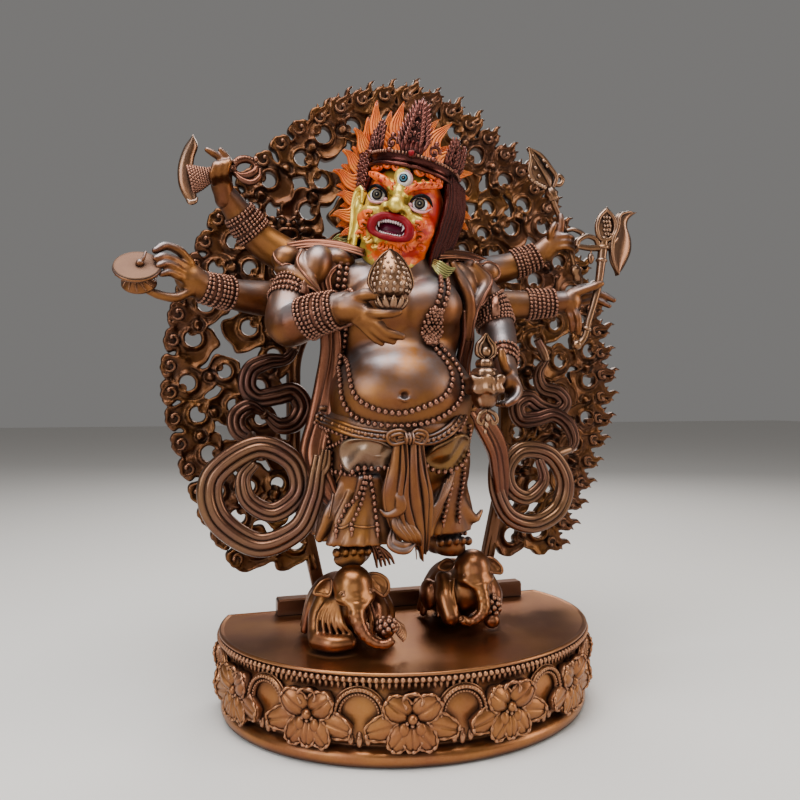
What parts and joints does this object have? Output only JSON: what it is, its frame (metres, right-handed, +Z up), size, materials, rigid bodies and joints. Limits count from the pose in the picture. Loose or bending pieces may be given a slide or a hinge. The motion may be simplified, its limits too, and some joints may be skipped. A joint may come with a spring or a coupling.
{
  "type": "standing deity figure",
  "caption": "Cast copper-alloy standing protector deity with fanned arms and flame hair, on a D-shaped lotus plinth, before a flat pierced aureole of cloud scrolls",
  "frame": {"origin": "middle of the plinth's flat underside", "axes": "+Z up, -Y is the front that the figure faces, +X is the figure's left"},
  "size_m": [0.1996, 0.0794, 0.2376],
  "materials": {
    "plinth_copper": "satin copper, brown in the recesses and rubbed bright on the edges",
    "aureole_bronze": "amber-brown bronze with rubbed bright rims",
    "figure_bronze": "dark red-brown bronze with blue-green and gold sheen; face in cold gold with painted eyes, mouth and brows",
    "scarf_bronze": "light brown bronze, bright on the raised folds",
    "beast_bronze": "smooth golden bronze heads, dark recesses",
    "held_bronze": "light bronze with dark recesses"
  },
  "bodies": {
    "root": {"plinth": "plinth_copper", "aureole": "aureole_bronze", "figure": "figure_bronze", "scarf_right": "scarf_bronze", "scarf_left": "scarf_bronze", "elephant_right": "beast_bronze", "elephant_left": "beast_bronze", "chopper": "held_bronze", "drum": "held_bronze", "jewel": "held_bronze", "skull_cup": "held_bronze", "trident": "held_bronze", "goad": "held_bronze"}
  },
  "joints": []
}
